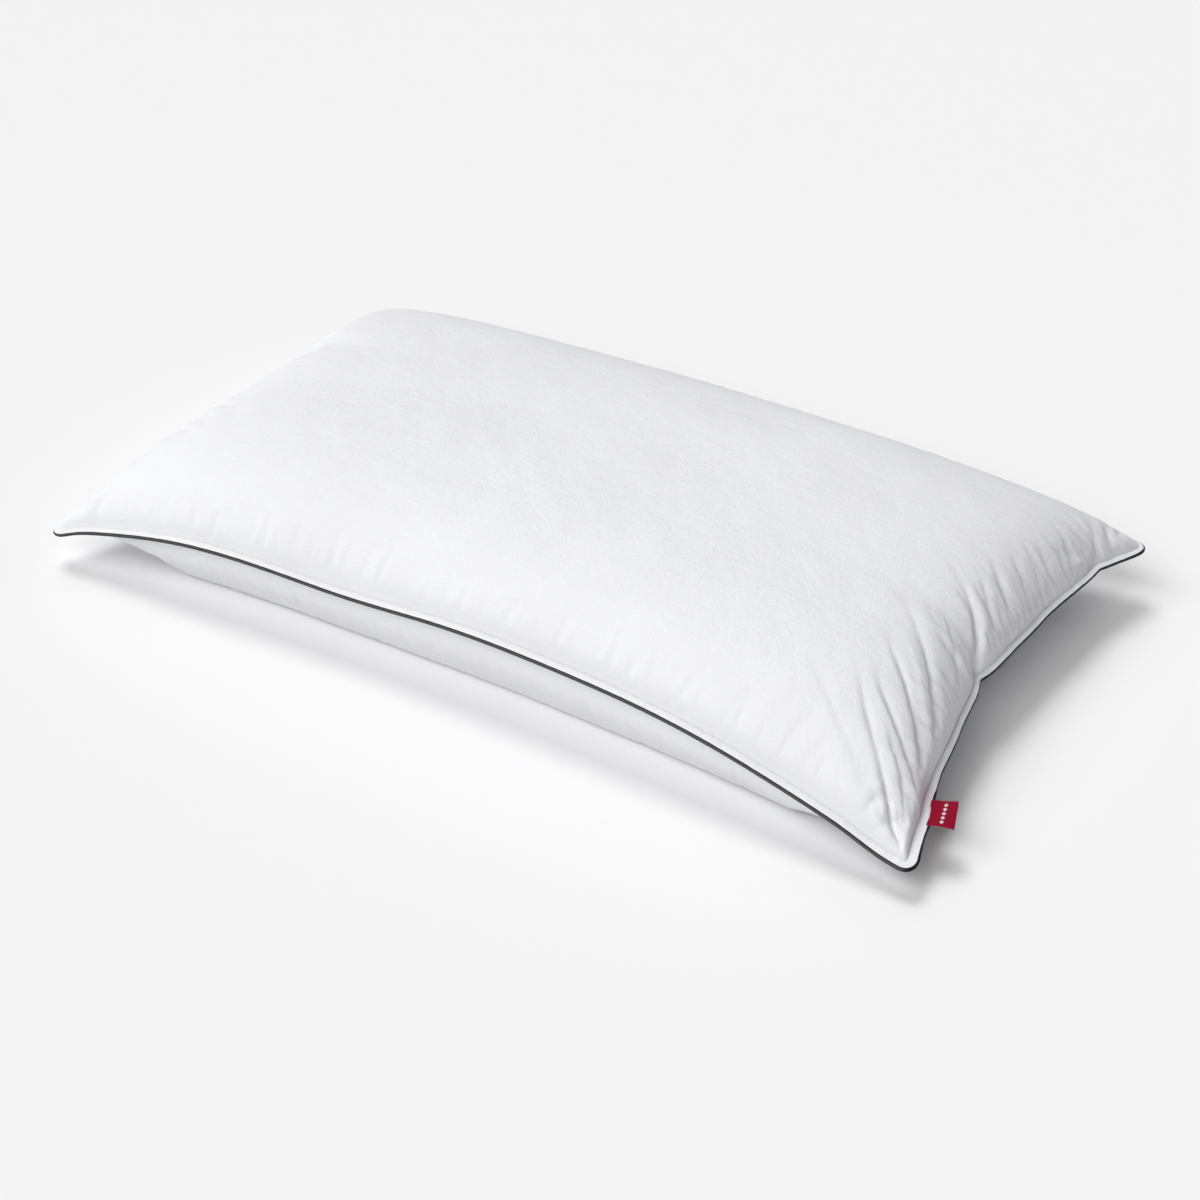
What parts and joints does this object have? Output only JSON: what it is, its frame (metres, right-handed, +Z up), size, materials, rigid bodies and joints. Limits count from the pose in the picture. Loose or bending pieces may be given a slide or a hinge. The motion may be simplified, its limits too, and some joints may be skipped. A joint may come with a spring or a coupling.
{
  "type": "bed pillow",
  "caption": "Rectangular down-filled bed pillow in white cotton, drawn in along its sides, with a flat stitched flange, dark piping and folded labels sewn into the edge.",
  "frame": {"origin": "middle of the flat patch that the pillow rests on, at the level of the surface under it", "axes": "+X along the pillow's length towards the end with the brand label, +Y across its width towards the back, +Z up"},
  "size_m": [0.9102, 0.5038, 0.14],
  "materials": {
    "white_cotton": "smooth, fine percale weave, matt",
    "down": "loose, matt",
    "black_piping": "fine weave, soft sheen",
    "cord_core": "twisted, matt",
    "white_thread": "spun, soft sheen",
    "red_label": "woven satin",
    "label_motif": "woven satin",
    "white_label": "printed satin, left blank"
  },
  "bodies": {
    "pillow": {"top_cover": "white_cotton", "bottom_cover": "white_cotton", "down_fill": "down", "piping_cord": "cord_core", "piping_tape": "black_piping", "edge_seam_thread": "white_thread", "topstitch_upper": "white_thread", "topstitch_lower": "white_thread", "closing_seam_thread": "white_thread", "brand_label_tail": "red_label", "care_label_tail": "white_label"},
    "brand_flap": {"brand_label": "red_label", "brand_label_motif": "label_motif"},
    "care_flap": {"care_label": "white_label"}
  },
  "joints": [
    {"name": "brand_label_fold", "type": "hinge", "parent": "pillow", "child": "brand_flap", "pos_m": [0.43981, -0.19129, 0.03758], "axis": [0.2286, -0.9574, -0.1764], "range_deg": [-88, 100]},
    {"name": "care_label_fold", "type": "hinge", "parent": "pillow", "child": "care_flap", "pos_m": [-0.42384, -0.11285, 0.04938], "axis": [0.1269, 0.987, 0.0991], "range_deg": [-12, 165]}
  ]
}
